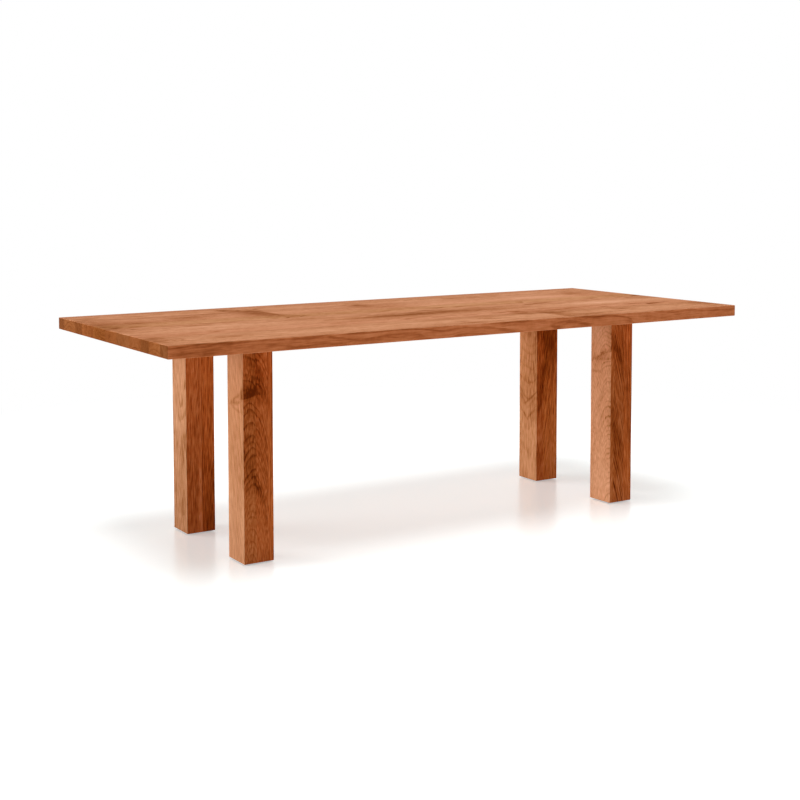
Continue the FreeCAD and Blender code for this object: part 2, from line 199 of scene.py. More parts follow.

# How a board was sawn from its log: where the pith ran past the middle of the board (across, depth), how it
# leaned along the grain, the width of a growth ring, how far the rings wander, how clearly they show, the
# board's tone, with painted light in it on some leg boards, and the factor on it at the ends of a stave, for
# their tone, or on the sides of a lamella, as painted light
Board = namedtuple("Board", "pith lean ring wander figure tint edge_tint")

STAVES = {
    "top_stave_01": Board((-0.100, -0.030), (0.006, 0.012), 0.0070, 0.042, 1.0, (1.003, 0.970, 1.045), 0.82),
    "top_stave_02": Board((-0.020, -0.060), (-0.008, 0.016), 0.0064, 0.049, 1.0, (1.090, 1.103, 1.187), 1.00),
    "top_stave_03": Board((0.060, -0.030), (0.010, 0.004), 0.0059, 0.035, 1.0, (1.014, 0.992, 1.045), 0.93),
    "top_stave_04": Board((0.110, 0.020), (0.012, -0.014), 0.0070, 0.049, 1.0, (1.135, 1.147, 1.259), 1.15),
    "top_stave_05": Board((-0.030, 0.090), (0.004, 0.018), 0.0062, 0.045, 1.0, (1.046, 1.081, 1.069), 1.21),
    "top_stave_06": Board((0.005, -0.050), (0.008, 0.010), 0.0064, 0.042, 1.0, (1.090, 1.103, 1.187), 1.10),
    "top_stave_07": Board((0.120, -0.040), (0.004, 0.006), 0.0059, 0.028, 1.0, (1.156, 1.191, 1.307), 0.86),
    "top_stave_08": Board((-0.010, -0.095), (-0.010, 0.012), 0.0067, 0.049, 1.0, (1.079, 1.048, 1.116), 0.98),
    "top_stave_09": Board((0.090, 0.020), (0.006, -0.012), 0.0059, 0.035, 1.0, (1.025, 1.015, 1.045), 0.86),
    "top_stave_10": Board((0.012, -0.070), (0.010, 0.014), 0.0064, 0.042, 1.0, (1.135, 1.169, 1.259), 1.06),
    "top_stave_11": Board((0.100, -0.030), (0.012, 0.004), 0.0059, 0.035, 1.0, (1.135, 1.147, 1.234), 0.74),
}

# The boards of each leg from the left. The back legs' right-hand boards carry much paler tones, and the sides
# of their left boards a raised factor, as painted light on their fronts, which lie in shade under the top and
# behind the front legs. The left board of the front right leg is tinted paler as painted light on its left
# face, which the left legs shade, and its lower side factor takes this back off its front
LEG_BOARDS = {
    "leg_front_left": (
        Board((0.0235, 0.005), (0.150, 0.000), 0.0032, 0.018, 0.68, (0.99, 1.06, 1.12), 1.0),
        Board((0.0235, -0.040), (0.150, 0.000), 0.0032, 0.018, 0.68, (1.04, 1.01, 1.00), 1.0),
        Board((0.020, -0.200), (0.010, 0.015), 0.0070, 0.021, 1.0, (1.14, 1.10, 1.06), 1.0),
    ),
    "leg_front_right": (
        Board((-0.058, 0.127), (0.000, 0.220), 0.0042, 0.024, 0.6, (1.05, 1.14, 1.21), 0.95),
        Board((0.020, -0.120), (0.020, -0.220), 0.0056, 0.028, 2.0, (0.97, 0.96, 0.93), 1.0),
        Board((-0.010, 0.180), (0.010, -0.060), 0.0056, 0.021, 1.6, (1.13, 1.09, 1.05), 1.0),
    ),
    "leg_back_left": (
        Board((-0.020, -0.300), (0.010, 0.016), 0.0050, 0.042, 0.7, (1.00, 1.13, 1.25), 1.10),
        Board((0.030, 0.150), (0.010, 0.020), 0.0046, 0.028, 1.0, (1.18, 1.28, 1.26), 1.0),
    ),
    "leg_back_right": (
        Board((0.000, 0.250), (0.010, 0.020), 0.0110, 0.045, 0.32, (0.94, 1.01, 0.99), 1.18),
        Board((0.020, 0.140), (0.020, 0.120), 0.0046, 0.035, 1.2, (1.26, 1.48, 1.42), 1.0),
        Board((0.010, -0.180), (0.010, 0.015), 0.0067, 0.021, 1.0, (1.28, 1.52, 1.56), 1.0),
    ),
}
LAMELLAS = {
    f"{leg}_lamella_{number}": board
    for leg, boards in LEG_BOARDS.items()
    for number, board in enumerate(boards, 1)
}

# A mark is a knot, crotch or streak: where its middle is, in shares of the top or the leg, how far it reaches
# (m), how it is turned (degrees), how far it pushes the rings outwards (m), how dark its stain is, below zero
# for sapwood, and whether it ends sharply at its middle on its own +X side. A placed mark has its middle in
# metres and its turn in radians
Mark = namedtuple("Mark", "shares reach turn rise stain sharp", defaults=(False,))
PlacedMark = namedtuple("PlacedMark", "middle reach turn rise stain sharp")

# Shares of the top: along its length from the left, and across its width from the back
TOP_MARKS = (
    Mark((0.293, 0.265), (0.100, 0.120), 2.0, 0.016, 0.52, True),
    Mark((0.262, 0.130), (0.080, 0.040), -24.0, 0.008, 0.20),
    Mark((0.190, 0.222), (0.130, 0.040), 26.0, 0.008, 0.18),
    Mark((0.305, 0.435), (0.040, 0.065), -16.0, 0.008, 0.24),
    Mark((0.005, 0.400), (0.090, 0.190), 0.0, 0.012, 0.36),
    Mark((0.005, 0.860), (0.080, 0.090), 0.0, 0.010, 0.30),
    Mark((0.110, 0.880), (0.110, 0.030), 0.0, 0.002, 0.28),
    Mark((0.149, 0.290), (0.090, 0.060), 20.0, 0.010, 0.15),
    Mark((0.070, 0.350), (0.080, 0.060), -20.0, 0.010, 0.22),
    Mark((0.480, 0.606), (0.340, 0.052), 2.0, 0.006, 0.52),
    Mark((0.475, 0.205), (0.040, 0.070), -20.0, 0.012, 0.34),
    Mark((0.510, 0.280), (0.090, 0.100), 0.0, 0.008, 0.14),
    Mark((0.480, 0.955), (0.050, 0.030), 0.0, 0.002, 0.22),
    Mark((0.630, 0.790), (0.045, 0.060), -20.0, 0.012, 0.32),
    Mark((0.660, 0.870), (0.090, 0.095), 180.0, 0.004, 0.46, True),
    Mark((0.715, 0.945), (0.090, 0.036), 8.0, 0.002, 0.24),
    Mark((0.810, 0.860), (0.060, 0.050), 12.0, 0.004, 0.20),
    Mark((0.920, 0.230), (0.050, 0.070), -20.0, 0.008, 0.20),
    Mark((0.950, 0.360), (0.130, 0.120), 0.0, 0.008, 0.14),
    Mark((0.990, 0.880), (0.080, 0.080), 0.0, 0.008, 0.32),
    Mark((0.070, 1.000), (0.200, 0.010), 0.0, 0.000, 0.30),
    Mark((0.820, 0.250), (0.180, 0.140), 0.0, 0.000, -0.16),
    Mark((0.620, 0.250), (0.200, 0.150), 0.0, 0.000, -0.08),
    Mark((0.250, 0.710), (0.140, 0.070), 0.0, 0.000, -0.08),
    Mark((0.145, 0.605), (0.220, 0.045), 6.0, 0.000, -0.15),
    Mark((0.860, 0.615), (0.260, 0.045), -4.0, 0.000, -0.22),
)

# Shares of a leg: across its front from the left, back from its front, and down from its top; turned about X,
# Y and Z. The marks are those of a whole leg or of one lamella
LEG_MARKS = {
    "leg_front_left": (
        Mark((0.20, 0.00, 0.238), (0.021, 0.022, 0.036), (0.0, 78.0, 0.0), 0.000, 0.60, True),
        Mark((0.26, 0.00, 0.200), (0.034, 0.022, 0.036), (0.0, 0.0, 0.0), 0.001, 0.22),
        Mark((0.34, 0.00, 0.110), (0.032, 0.020, 0.080), (0.0, 0.0, 0.0), 0.001, 0.28),
        Mark((0.58, 0.00, 0.170), (0.010, 0.020, 0.070), (0.0, -15.0, 0.0), 0.000, 0.24),
        Mark((0.50, 0.00, 0.650), (0.010, 0.050, 0.055), (0.0, -18.0, 0.0), 0.000, 0.26),
        Mark((0.35, 0.00, 0.450), (0.050, 0.030, 0.150), (0.0, 0.0, 0.0), 0.000, 0.08),
        Mark((0.50, 0.00, 0.930), (0.060, 0.030, 0.080), (0.0, 0.0, 0.0), 0.000, -0.07),
    ),
    "leg_front_left_lamella_1": (
        Mark((0.00, 0.42, 0.243), (0.030, 0.050, 0.006), (-31.0, 0.0, 0.0), 0.004, 0.24),
        Mark((0.00, 0.42, 0.268), (0.030, 0.050, 0.005), (-14.0, 0.0, 0.0), 0.003, 0.24),
        Mark((0.00, 0.42, 0.298), (0.030, 0.050, 0.006), (10.0, 0.0, 0.0), 0.003, 0.18),
        Mark((0.25, 0.00, 0.560), (0.035, 0.040, 0.060), (0.0, 0.0, 0.0), 0.000, 0.16),
        Mark((0.00, 0.50, 0.460), (0.030, 0.100, 0.220), (0.0, 0.0, 0.0), 0.000, 0.09),
        Mark((0.00, 0.60, 0.120), (0.030, 0.080, 0.070), (0.0, 0.0, 0.0), 0.000, -0.13),
    ),
    "leg_front_right": (
        Mark((0.20, 0.00, 0.150), (0.020, 0.025, 0.085), (0.0, -26.0, 0.0), 0.004, 0.42),
        Mark((0.50, 0.00, 0.970), (0.080, 0.030, 0.070), (0.0, 0.0, 0.0), 0.000, -0.13),
        Mark((0.30, 0.00, 0.660), (0.020, 0.060, 0.120), (0.0, -10.0, 0.0), 0.000, 0.20),
        Mark((0.10, 0.00, 0.560), (0.010, 0.030, 0.090), (0.0, -10.0, 0.0), 0.000, 0.16),
    ),
    "leg_front_right_lamella_1": (
        Mark((0.00, 0.50, 0.205), (0.030, 0.070, 0.008), (-27.0, 0.0, 0.0), 0.006, 0.34),
        Mark((0.00, 0.30, 0.222), (0.030, 0.045, 0.006), (-10.0, 0.0, 0.0), 0.003, 0.18),
        Mark((0.00, 0.75, 0.298), (0.030, 0.040, 0.007), (-3.0, 0.0, 0.0), 0.003, 0.26),
        Mark((0.00, 0.45, 0.225), (0.030, 0.060, 0.022), (-20.0, 0.0, 0.0), 0.000, 0.18),
        Mark((0.00, 0.50, 0.100), (0.030, 0.100, 0.060), (0.0, 0.0, 0.0), 0.000, -0.10),
        Mark((0.00, 0.50, 0.920), (0.030, 0.100, 0.100), (0.0, 0.0, 0.0), 0.000, -0.12),
        Mark((0.00, 0.50, 0.250), (0.020, 0.120, 0.200), (0.0, 0.0, 0.0), 0.000, -0.10),
    ),
    "leg_back_left_lamella_1": (
        Mark((0.00, 0.50, 0.880), (0.060, 0.090, 0.260), (0.0, 0.0, 0.0), 0.008, 0.26),
        Mark((0.50, 0.00, 0.780), (0.014, 0.100, 0.220), (0.0, 0.0, 0.0), 0.000, -0.22),
    ),
    "leg_back_left_lamella_2": (
        Mark((0.95, 0.00, 0.950), (0.050, 0.120, 0.150), (0.0, 0.0, 0.0), 0.006, 0.22),
        Mark((0.80, 0.00, 0.700), (0.040, 0.100, 0.070), (0.0, 0.0, 0.0), 0.006, 0.12),
        Mark((0.78, 0.00, 0.820), (0.080, 0.120, 0.220), (0.0, 0.0, 0.0), 0.000, 0.08),
    ),
    "leg_back_right": (
        Mark((0.50, 0.00, 0.130), (0.090, 0.050, 0.205), (0.0, 0.0, 0.0), 0.000, 0.36),
        Mark((0.60, 0.00, 0.800), (0.080, 0.050, 0.140), (0.0, 0.0, 0.0), 0.000, -0.07),
        Mark((0.24, 0.00, 0.470), (0.014, 0.040, 0.150), (0.0, 12.0, 0.0), 0.000, 0.26),
    ),
    "leg_back_right_lamella_1": (
        Mark((0.00, 0.50, 0.000), (0.300, 0.300, 0.400), (0.0, 0.0, 0.0), -0.190, 0.00),
        Mark((0.00, 0.80, 0.527), (0.030, 0.022, 0.005), (48.0, 0.0, 0.0), 0.000, 0.26),
        Mark((0.00, 0.55, 0.547), (0.030, 0.015, 0.005), (-25.0, 0.0, 0.0), 0.000, 0.26),
        Mark((0.00, 0.25, 0.515), (0.030, 0.030, 0.005), (-40.0, 0.0, 0.0), 0.000, 0.26),
        Mark((0.00, 0.70, 0.622), (0.030, 0.024, 0.005), (44.0, 0.0, 0.0), 0.000, 0.22),
        Mark((0.00, 0.30, 0.615), (0.030, 0.030, 0.005), (-36.0, 0.0, 0.0), 0.000, 0.22),
        Mark((0.00, 0.50, 0.430), (0.060, 0.100, 0.140), (0.0, 0.0, 0.0), 0.000, 0.31),
        Mark((0.00, 0.50, 0.060), (0.060, 0.100, 0.090), (0.0, 0.0, 0.0), 0.000, 0.26),
        Mark((0.15, 0.00, 0.850), (0.030, 0.030, 0.050), (0.0, 0.0, 0.0), 0.006, 0.22),
    ),
    "leg_back_right_lamella_2": (
        Mark((0.50, 0.00, 0.160), (0.080, 0.090, 0.220), (0.0, 0.0, 0.0), 0.000, 0.24),
    ),
    "leg_back_right_lamella_3": (
        Mark((0.85, 0.00, 0.130), (0.060, 0.100, 0.200), (0.0, 0.0, 0.0), 0.000, 0.26),
    ),
}


class Graph:
    """Adds nodes to one tree. A value for an input is a number, a tuple or the output of another node."""

    def __init__(self, tree):
        self.tree = tree

    def add(self, kind, inputs=None, **settings):
        node = self.tree.nodes.new(kind)
        for name, value in settings.items():
            setattr(node, name, value)
        for key, value in (inputs or {}).items():
            self.feed(node.inputs[key], value)
        return node

    def feed(self, socket, value):
        if isinstance(value, bpy.types.NodeSocket):
            self.tree.links.new(value, socket)
        else:
            socket.default_value = value

    def place(self):
        """The place on the table, in metres of its own frame."""
        return self.add("ShaderNodeTexCoord").outputs["Object"]

    def parts(self, vector):
        return self.add("ShaderNodeSeparateXYZ", {"Vector": vector}).outputs

    def join(self, x, y, z):
        return self.add("ShaderNodeCombineXYZ", {"X": x, "Y": y, "Z": z}).outputs["Vector"]

    def math(self, operation, first, second=0.0, third=0.0):
        inputs = {0: first, 1: second, 2: third}
        return self.add("ShaderNodeMath", inputs, operation=operation).outputs[0]

    def vector(self, operation, first, second=(0.0, 0.0, 0.0), third=(0.0, 0.0, 0.0)):
        inputs = {0: first, 1: second, 2: third}
        node = self.add("ShaderNodeVectorMath", inputs, operation=operation)
        single = operation in ("LENGTH", "DOT_PRODUCT")
        return node.outputs["Value" if single else "Vector"]

    def ramp(self, value, low, high, start=0.0, end=1.0):
        """Goes smoothly from start, where the value is low, to end, where it is high."""
        inputs = {"Value": value, "From Min": low, "From Max": high, "To Min": start, "To Max": end}
        return self.add("ShaderNodeMapRange", inputs, interpolation_type="SMOOTHSTEP").outputs["Result"]

    def noise(self, place, noise, shift=(0.0, 0.0, 0.0), output="Fac"):
        where = self.vector("MULTIPLY_ADD", place, noise.waves, shift)
        inputs = {"Vector": where, "Scale": 1.0, "Detail": noise.detail}
        return self.add("ShaderNodeTexNoise", inputs).outputs[output]

    def noise_on_line(self, value, detail=0.0):
        inputs = {"W": value, "Scale": 1.0, "Detail": detail}
        return self.add("ShaderNodeTexNoise", inputs, noise_dimensions="1D").outputs["Fac"]

    def bump(self, height, strength, distance):
        inputs = {"Strength": strength, "Distance": distance, "Height": height}
        return self.add("ShaderNodeBump", inputs).outputs["Normal"]

    def mix(self, factor, first, second, blend="MIX"):
        node = self.add("ShaderNodeMix", data_type="RGBA", blend_type=blend, clamp_factor=True)
        colours = [socket for socket in node.inputs if socket.type == "RGBA"]
        self.feed(node.inputs[0], factor)
        self.feed(colours[0], first)
        self.feed(colours[1], second)
        return next(socket for socket in node.outputs if socket.type == "RGBA")

    def colours(self, factor, stops):
        """A colour ramp through the stops, each a place on the ramp and a colour."""
        node = self.add("ShaderNodeValToRGB", {"Fac": factor})
        elements = node.color_ramp.elements
        elements[0].position = stops[0][0]
        elements[1].position = stops[-1][0]
        for place, _ in stops[1:-1]:
            elements.new(place)
        for element, (_, colour) in zip(elements, stops):
            element.color = (*colour, 1.0)
        return node.outputs["Color"]


def new_material(name):
    """A material with a Principled shader, and the graph that its nodes go into."""
    material = bpy.data.materials.new(name)
    material.use_nodes = True
    graph = Graph(material.node_tree)
    return material, graph, material.node_tree.nodes["Principled BSDF"]


def new_group(name, inputs, outputs):
    """A node group with the named sockets, its graph, and its input and output nodes."""
    tree = bpy.data.node_groups.new(name, "ShaderNodeTree")
    for direction, sockets in (("INPUT", inputs), ("OUTPUT", outputs)):
        for socket, kind in sockets.items():
            tree.interface.new_socket(name=socket, in_out=direction, socket_type="NodeSocket" + kind)
    graph = Graph(tree)
    return tree, graph, graph.add("NodeGroupInput").outputs, graph.add("NodeGroupOutput").inputs


def growth_rings(graph, given):
    """Counts growth rings out from the pith, which leans along the grain and wanders. Marks bulge them.

    The second result is the place as seen from the pith, for the fibres, which run along it.
    """
    place, shift = given["Place"], given["Shift"]
    pith = graph.vector("MULTIPLY_ADD", given["Lean"], given["Along"], given["Pith"])
    drift = graph.vector("SUBTRACT", graph.noise(place, DRIFT, shift, "Color"), (NOISE_MEAN,) * 3)
    drift = graph.vector("MULTIPLY", drift, given["Wander"])
    from_pith = graph.vector("ADD", graph.vector("SUBTRACT", place, pith), drift)
    radius = graph.vector("LENGTH", graph.vector("MULTIPLY", from_pith, ACROSS_THE_GRAIN))
    wobble = graph.math("SUBTRACT", graph.noise(place, WOBBLE, shift), NOISE_MEAN)
    radius = graph.math("MULTIPLY_ADD", wobble, RING_WOBBLE, radius)
    radius = graph.math("ADD", radius, given["Bulge"])
    return graph.math("DIVIDE", radius, given["Ring"]), from_pith


def late_wood(graph, rings):
    """The dark line of each growth ring: it deepens outwards and ends sharply, and no two rings are alike."""
    phase = graph.math("FRACT", rings)
    line = graph.math("MULTIPLY", graph.ramp(phase, *LATE_WOOD_DEEPENS), graph.ramp(phase, *LATE_WOOD_ENDS))
    strength = graph.noise_on_line(graph.math("MULTIPLY", rings, RING_STRENGTH_WAVES))
    return graph.math("MULTIPLY", line, graph.ramp(strength, *RING_STRENGTH))


def colour_depth(graph, given, rings, late, blotch, fibre, pore):
    """Adds up the depth of colour from all parts of the figure, calms it, and adds the stain of the marks."""
    place, shift = given["Place"], given["Shift"]
    group = graph.noise_on_line(graph.math("MULTIPLY", rings, RING_GROUP_WAVES), RING_GROUP_DETAIL)
    streak = graph.noise(graph.join(given["Along"], rings, given["Across"]), STREAK, shift)
    mottle = graph.noise(place, MOTTLE, shift)
    fibre_depth = graph.math("MULTIPLY_ADD", given["Side"], SIDE_FIBRE_DEPTH, FIBRE_DEPTH)
    fibre_depth = graph.math("MULTIPLY", fibre_depth, given["Fibre"])
    depth = graph.math("MULTIPLY_ADD", late, given["Figure"], PLAIN_DEPTH)
    depth = graph.math("MULTIPLY_ADD", pore, PORE_DEPTH, depth)
    for value, weight in (
        (group, GROUP_DEPTH),
        (streak, given["Streak"]),
        (blotch, BLOTCH_DEPTH),
        (mottle, given["Mottle"]),
        (fibre, fibre_depth),
    ):
        depth = graph.math("MULTIPLY_ADD", graph.math("SUBTRACT", value, NOISE_MEAN), weight, depth)
    plainer = graph.math("SUBTRACT", PLAIN_DEPTH, depth)
    depth = graph.math("MULTIPLY_ADD", plainer, given["Calm"], depth)
    stain = graph.math("MULTIPLY", given["Stain"], graph.ramp(fibre, *FIBRE_STAINS))
    shown = graph.math("SUBTRACT", 1.0, given["Calm"])
    return graph.math("MULTIPLY_ADD", stain, shown, depth)


def timber_group():
    """Wood of one board: growth rings round a pith, streaks, fibres, pores and blotches, and its marks."""
    inputs = {
        "Place": "Vector", "Along": "Float", "Across": "Float", "Shift": "Vector",
        "Pith": "Vector", "Lean": "Vector", "Ring": "Float", "Wander": "Vector", "Figure": "Float",
        "Bulge": "Float", "Stain": "Float", "Tint": "Color", "Side": "Float", "End": "Float", "Calm": "Float",
        "Streak": "Float", "Mottle": "Float", "Fibre": "Float", "Fibres": "Vector",
    }
    outputs = {"Colour": "Color", "Roughness": "Float", "Height": "Float"}
    tree, graph, given, result = new_group("timber", inputs, outputs)
    place, shift = given["Place"], given["Shift"]

    rings, from_pith = growth_rings(graph, given)
    blotch = graph.noise(place, BLOTCH, shift)
    late = graph.math("MULTIPLY", late_wood(graph, rings), graph.ramp(blotch, *BLOTCH_SHOWS_RINGS))
    fibre = graph.noise(from_pith, Noise(given["Fibres"], FIBRE_DETAIL), shift)
    pore = graph.ramp(graph.noise(place, PORE, shift), *PORE_SHOWS)
    depth = colour_depth(graph, given, rings, late, blotch, fibre, pore)

    # The sides take the painted shade colours, and the tone multiplies in, with painted light on some leg
    # boards
    colour = graph.mix(given["Side"], graph.colours(depth, FACE_COLOURS), graph.colours(depth, PAINTED_SHADE_COLOURS))
    colour = graph.mix(1.0, colour, given["Tint"], "MULTIPLY")
    ended = graph.mix(1.0, colour, END_GRAIN_TINT, "MULTIPLY")
    graph.feed(result["Colour"], graph.mix(given["End"], colour, ended))

    rough = graph.math("MULTIPLY_ADD", pore, PORE_ROUGHNESS, graph.ramp(fibre, *FIBRE_ROUGHNESS))
    graph.feed(result["Roughness"], graph.math("MULTIPLY_ADD", given["End"], END_ROUGHNESS, rough))
    height = graph.math("MULTIPLY_ADD", pore, PORE_HEIGHT, graph.math("MULTIPLY", fibre, FIBRE_HEIGHT))
    graph.feed(result["Height"], graph.math("MULTIPLY_ADD", late, RING_HEIGHT, height))
    return tree


def add_marks(graph, place, marks):
    """Adds up the bulge that the placed marks give the rings and the stain that they give the wood."""
    bulge, stain = 0.0, 0.0
    stray = graph.vector("SUBTRACT", graph.noise(place, MARK_STRAY, output="Color"), (NOISE_MEAN,) * 3)
    strayed = graph.vector("MULTIPLY_ADD", stray, (MARK_WOBBLE,) * 3, place)
    for mark in marks:
        inputs = {"Vector": strayed, "Location": mark.middle, "Rotation": mark.turn, "Scale": mark.reach}
        local = graph.add("ShaderNodeMapping", inputs, vector_type="TEXTURE").outputs["Vector"]
        fall = graph.math("MULTIPLY", graph.vector("DOT_PRODUCT", local, local), -1.0)
        strength = graph.math("EXPONENT", fall)
        if mark.sharp:
            ending = graph.ramp(graph.parts(local)["X"], *MARK_ENDS)
            strength = graph.math("MULTIPLY", strength, ending)
        bulge = graph.math("MULTIPLY_ADD", strength, mark.rise, bulge)
        stain = graph.math("MULTIPLY_ADD", strength, mark.stain, stain)
    return bulge, stain


def board_faces(graph, upright, style):
    """How far a face is an end of the board, how far it takes the colours of the painted shade, and how calm
    it is.
    """
    normal = graph.add("ShaderNodeNewGeometry").outputs["Normal"]
    grain_way = WAY_UP if upright else WAY_ALONG
    limits = (FACING_LOW_SHARE, FACING_HIGH_SHARE)
    endways = graph.math("ABSOLUTE", graph.vector("DOT_PRODUCT", normal, grain_way))
    sideways = graph.math("ABSOLUTE", graph.vector("DOT_PRODUCT", normal, WAY_ACROSS))
    end = graph.ramp(endways, *limits)
    # Faces that look to the front or back take the painted shade; the ends take a share of it
    painted_shade = graph.ramp(endways, *limits, graph.ramp(sideways, *limits, 0.0, style.side_share), END_PAINTED_SHADE_SHARE)
    calm = graph.ramp(endways, *limits, graph.ramp(sideways, *limits, 0.0, style.side_calm), END_CALM)
    return end, painted_shade, calm


def wood_material(name, board, timber, seed, upright, marks, style):
    """The finish of one board, whose grain runs along X, or up Z where it is upright."""
    low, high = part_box(name)
    middle = (low + high) / 2
    material, graph, shader = new_material(name + "_wood")
    place = graph.place()
    parts = graph.parts(graph.vector("SUBTRACT", place, tuple(middle)))
    grain, across, depth = (parts[axis] for axis in ("ZYX" if upright else "XYZ"))
    end, painted_shade, calm = board_faces(graph, upright, style)
    bulge, stain = add_marks(graph, place, marks)
    # Painted light: on a lamella the side factor lifts or lowers its front and back; on a stave it is the
    # tone of its ends
    edge_tint = tuple(colour * board.edge_tint for colour in board.tint)
    tint = graph.mix(painted_shade if upright else end, (*board.tint, 1.0), (*edge_tint, 1.0))
    inputs = {
        "Place": graph.join(grain, across, depth),
        "Along": grain,
        "Across": across,
        "Shift": tuple(seed * step for step in SEED_STEPS),
        "Pith": (0.0, *board.pith),
        "Lean": (0.0, *board.lean),
        "Ring": board.ring,
        "Wander": (board.wander,) * 3,
        "Figure": board.figure * style.ring,
        "Bulge": bulge,
        "Stain": stain,
        "Tint": tint,
        "Side": painted_shade,
        "End": end,
        "Calm": calm,
        "Streak": style.streak,
        "Mottle": style.mottle,
        "Fibre": style.fibre,
        "Fibres": style.fibre_waves,
    }
    wood = graph.add("ShaderNodeGroup", inputs, node_tree=timber).outputs
    graph.feed(shader.inputs["Base Color"], wood["Colour"])
    graph.feed(shader.inputs["Roughness"], wood["Roughness"])
    graph.feed(shader.inputs["Normal"], graph.bump(wood["Height"], *WOOD_BUMP))
    shader.inputs["Specular IOR Level"].default_value = WOOD_SHEEN
    return material


def top_marks(name):
    """The marks of the top that reach a stave, placed."""
    low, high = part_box(name)
    size = cad_high - cad_low
    found = []
    for mark in TOP_MARKS:
        along, across = mark.shares
        middle = (cad_low.x + along * size.x, cad_high.y - across * size.y, cad_high.z)
        span = MARK_SPAN * max(mark.reach)
        if low.y - span < middle[1] < high.y + span:
            reach = (*mark.reach, MARK_THROUGH)
            turn = (0.0, 0.0, math.radians(mark.turn))
            found.append(PlacedMark(middle, reach, turn, mark.rise, mark.stain, mark.sharp))
    return found


def leg_marks(name):
    """The marks of one lamella of a leg, placed."""
    leg = name.split("_lamella")[0]
    boxes = [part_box(other) for other in LAMELLAS if other.startswith(leg)]
    low = Vector([min(box[0][axis] for box in boxes) for axis in range(3)])
    high = Vector([max(box[1][axis] for box in boxes) for axis in range(3)])
    size = high - low
    found = []
    for mark in LEG_MARKS.get(leg, ()) + LEG_MARKS.get(name, ()):
        across, back, down = mark.shares
        middle = (low.x + across * size.x, low.y + back * size.y, high.z - down * size.z)
        turn = tuple(math.radians(angle) for angle in mark.turn)
        found.append(PlacedMark(middle, mark.reach, turn, mark.rise, mark.stain, mark.sharp))
    return found


def powder_coat():
    """Satin black powder coat: a fine orange peel over a faintly uneven black."""
    material, graph, shader = new_material("blackened_steel_coat")
    place = graph.place()
    peel = graph.noise(place, COAT_PEEL)
    cloud = graph.ramp(graph.noise(place, COAT_CLOUD), *CLOUD_SHOWS)
    graph.feed(shader.inputs["Base Color"], graph.mix(cloud, *COAT_COLOURS))
    graph.feed(shader.inputs["Roughness"], graph.ramp(peel, *COAT_ROUGHNESS))
    graph.feed(shader.inputs["Normal"], graph.bump(peel, *FITTING_BUMP))
    return material


def zinc_plate():
    """Bright zinc plating: faintly cloudy, with small crystals that differ in polish."""
    material, graph, shader = new_material("zinc_fastener_plate")
    place = graph.place()
    cells = {"Vector": place, "Scale": ZINC_CRYSTAL_WAVES}
    crystal = graph.add("ShaderNodeTexVoronoi", cells).outputs["Color"]
    shade = graph.add("ShaderNodeSeparateColor", {"Color": crystal}).outputs[0]
    cloud = graph.ramp(graph.noise(place, ZINC_CLOUD), *CLOUD_SHOWS)
    graph.feed(shader.inputs["Base Color"], graph.mix(cloud, *ZINC_COLOURS))
    graph.feed(shader.inputs["Roughness"], graph.ramp(shade, *ZINC_ROUGHNESS))
    shader.inputs["Metallic"].default_value = 1.0
    return material


def turned_brass():
    """Turned brass: fine tool rings up the insert and a little tarnish."""
    material, graph, shader = new_material("brass_insert_turned")
    place = graph.place()
    tool = graph.noise(place, BRASS_TOOL)
    tarnish = graph.ramp(graph.noise(place, BRASS_TARNISH), *BRASS_TARNISHES)
    graph.feed(shader.inputs["Base Color"], graph.mix(tarnish, *BRASS_COLOURS))
    graph.feed(shader.inputs["Roughness"], graph.ramp(tool, *BRASS_ROUGHNESS))
    shader.inputs["Metallic"].default_value = 1.0
    return material


def glide_plastic():
    """Moulded dark plastic: an even fine texture, scuffed a little paler in patches."""
    material, graph, shader = new_material("glide_plastic_moulded")
    place = graph.place()
    texture = graph.noise(place, PLASTIC_TEXTURE)
    scuff = graph.noise(place, PLASTIC_SCUFF)
    graph.feed(shader.inputs["Base Color"], graph.mix(graph.ramp(scuff, *PLASTIC_SCUFFS), *PLASTIC_COLOURS))
    graph.feed(shader.inputs["Roughness"], graph.ramp(scuff, *PLASTIC_ROUGHNESS))
    graph.feed(shader.inputs["Normal"], graph.bump(texture, *FITTING_BUMP))
    return material


def dress_nodes():
    """Gives every CAD node its material: a board its own, the rest the one of their slot."""
    timber = timber_group()
    slots = {row["node"]: row["material_slot"] for row in frame["record"]["subparts"]}
    finishes = {
        "blackened_steel": powder_coat(),
        "zinc_fastener": zinc_plate(),
        "brass_insert": turned_brass(),
        "glide_plastic": glide_plastic(),
    }
    for seed, name in enumerate(sorted(frame["nodes"]), 1):
        if name in STAVES:
            material = wood_material(name, STAVES[name], timber, seed, False, top_marks(name), TOP_STYLE)
        elif name in LAMELLAS:
            material = wood_material(name, LAMELLAS[name], timber, seed, True, leg_marks(name), LEG_STYLE)
        else:
            material = finishes[slots[name]]
        frame["nodes"][name].material_slots[0].material = material


def seen_directly(graph):
    """One for rays that show the background as it is: from the camera, in gloss and through glass."""
    path = graph.add("ShaderNodeLightPath").outputs
    shown = graph.math("MAXIMUM", path["Is Camera Ray"], path["Is Glossy Ray"])
    return graph.math("MAXIMUM", shown, path["Is Transmission Ray"])


def make_world():
    """A white background, which lights the object only faintly."""
    world = bpy.data.worlds.new("studio")
    bpy.context.scene.world = world
    world.use_nodes = True
    graph = Graph(world.node_tree)
    background = world.node_tree.nodes["Background"]
    graph.feed(background.inputs["Color"], graph.mix(seen_directly(graph), AMBIENT_LIGHT, WHITE))


